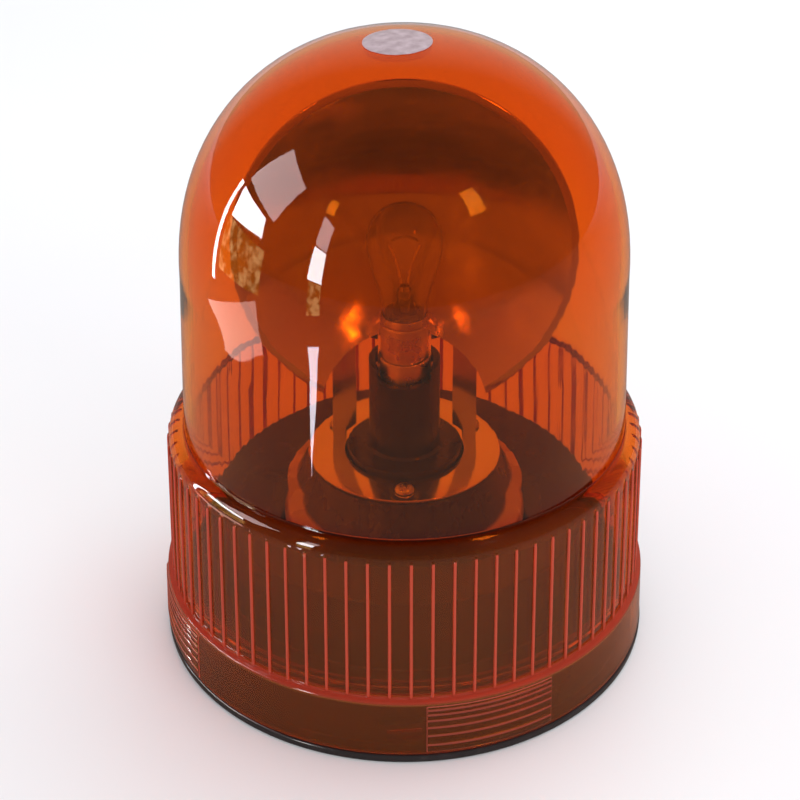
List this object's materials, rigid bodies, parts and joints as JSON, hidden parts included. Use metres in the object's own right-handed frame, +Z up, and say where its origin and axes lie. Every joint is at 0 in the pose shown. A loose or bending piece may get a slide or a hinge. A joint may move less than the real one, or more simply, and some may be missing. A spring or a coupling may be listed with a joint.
{
  "type": "rotating warning light",
  "caption": "Amber rotating warning light: a twist-off domed lens over a bulb and a mirror dish, turned by a geared motor in a round black base.",
  "frame": {"origin": "centre of the base's flat underside, on the axis that the mirror dish turns on", "axes": "+Z up along the axis of the lens and of the turning dish; at rest the dish faces -Y"},
  "size_m": [0.1592, 0.1592, 0.2006],
  "materials": {
    "black_gloss_plastic": "polished black moulding",
    "black_matt_plastic": "fine textured black moulding",
    "amber_plastic": "clear amber, polished",
    "mirror_plastic": "vacuum metallised plastic",
    "nickel_plate": "nickel plated brass",
    "zinc_steel": "zinc plated steel",
    "galvanised_sheet": "galvanised sheet",
    "brass": "plain brass and bronze",
    "copper": "enamelled copper winding",
    "clear_glass": "clear blown glass",
    "black_rubber": "moulded rubber",
    "nylon": "natural nylon",
    "red_insulation": "wire insulation",
    "white_paper": "plain coated paper"
  },
  "bodies": {
    "base": {"base_housing": "black_gloss_plastic", "bottom_cover": "black_matt_plastic", "cover_gasket": "black_rubber", "cover_screw_1": "zinc_steel", "cover_screw_2": "zinc_steel", "cover_screw_3": "zinc_steel", "mounting_insert_1": "brass", "mounting_insert_2": "brass", "mounting_insert_3": "brass", "gear_plate": "galvanised_sheet", "plate_screw_1": "zinc_steel", "plate_screw_2": "zinc_steel", "plate_screw_3": "zinc_steel", "lamp_tower": "black_gloss_plastic", "tower_screw_1": "zinc_steel", "tower_screw_2": "zinc_steel", "lamp_socket": "nickel_plate", "contact_spring": "zinc_steel", "idler_axle": "zinc_steel", "bearing_seat": "zinc_steel", "motor_can": "galvanised_sheet", "motor_end_cap": "nylon", "motor_screw_1": "zinc_steel", "motor_screw_2": "zinc_steel", "terminal_block": "nylon", "cable_grommet": "black_rubber", "supply_cable": "black_rubber", "lamp_lead": "red_insulation", "motor_lead_red": "red_insulation", "motor_lead_black": "black_rubber"},
    "rotor": {"turntable": "black_gloss_plastic", "drive_gear": "nylon", "gear_clip": "zinc_steel", "upper_bush": "brass", "lower_bush": "brass", "reflector": "mirror_plastic", "reflector_screw_1": "zinc_steel", "reflector_screw_2": "zinc_steel", "reflector_screw_3": "zinc_steel"},
    "idler": {"idler_gear": "nylon"},
    "motor_rotor": {"motor_shaft": "zinc_steel", "motor_armature": "copper", "motor_pinion": "brass"},
    "lens_seal": {"seal_ring": "black_rubber"},
    "lens_cover": {"lens": "amber_plastic", "qc_sticker": "white_paper"},
    "centre_contact": {"contact_plunger": "brass"},
    "bulb": {"bulb_glass": "clear_glass", "bulb_cap": "nickel_plate", "bulb_insulator": "black_gloss_plastic", "bulb_contact": "nickel_plate", "bulb_stem": "clear_glass", "filament_post_1": "nickel_plate", "filament_post_2": "nickel_plate", "filament": "zinc_steel"}
  },
  "joints": [
    {"name": "reflector_spin", "type": "hinge", "parent": "base", "child": "rotor", "pos_m": [0, 0, 0.047], "axis": [0, 0, 1], "continuous": true},
    {"name": "idler_spin", "type": "hinge", "parent": "base", "child": "idler", "pos_m": [0.03101, 0.01129, 0.035], "axis": [0, 0, 1], "continuous": true},
    {"name": "motor_spin", "type": "hinge", "parent": "base", "child": "motor_rotor", "pos_m": [0.02417, 0.03008, 0.03], "axis": [0, 0, 1], "continuous": true},
    {"name": "lens_lift", "type": "slide", "parent": "base", "child": "lens_seal", "axis": [0, 0, 1], "range_m": [0, 0.003]},
    {"name": "lens_turn", "type": "hinge", "parent": "lens_seal", "child": "lens_cover", "pos_m": [0, 0, 0.0227], "axis": [0, 0, 1], "range_deg": [0, 24]},
    {"name": "bulb_push", "type": "slide", "parent": "base", "child": "centre_contact", "axis": [0, 0, 1], "range_m": [-0.002, 0], "deforming": ["contact_spring"]},
    {"name": "bulb_turn", "type": "hinge", "parent": "centre_contact", "child": "bulb", "pos_m": [0, 0, 0.0935], "axis": [0, 0, 1], "range_deg": [0, 15]}
  ],
  "couplings": [
    {"joint": "idler_spin", "follows": "reflector_spin", "ratio": -4.5},
    {"joint": "motor_spin", "follows": "reflector_spin", "ratio": 18},
    {"joint": "lens_lift", "follows": "lens_turn", "m_per_rad": 0.00716},
    {"joint": "bulb_turn", "follows": "bulb_push", "rad_per_m": -130.89}
  ]
}
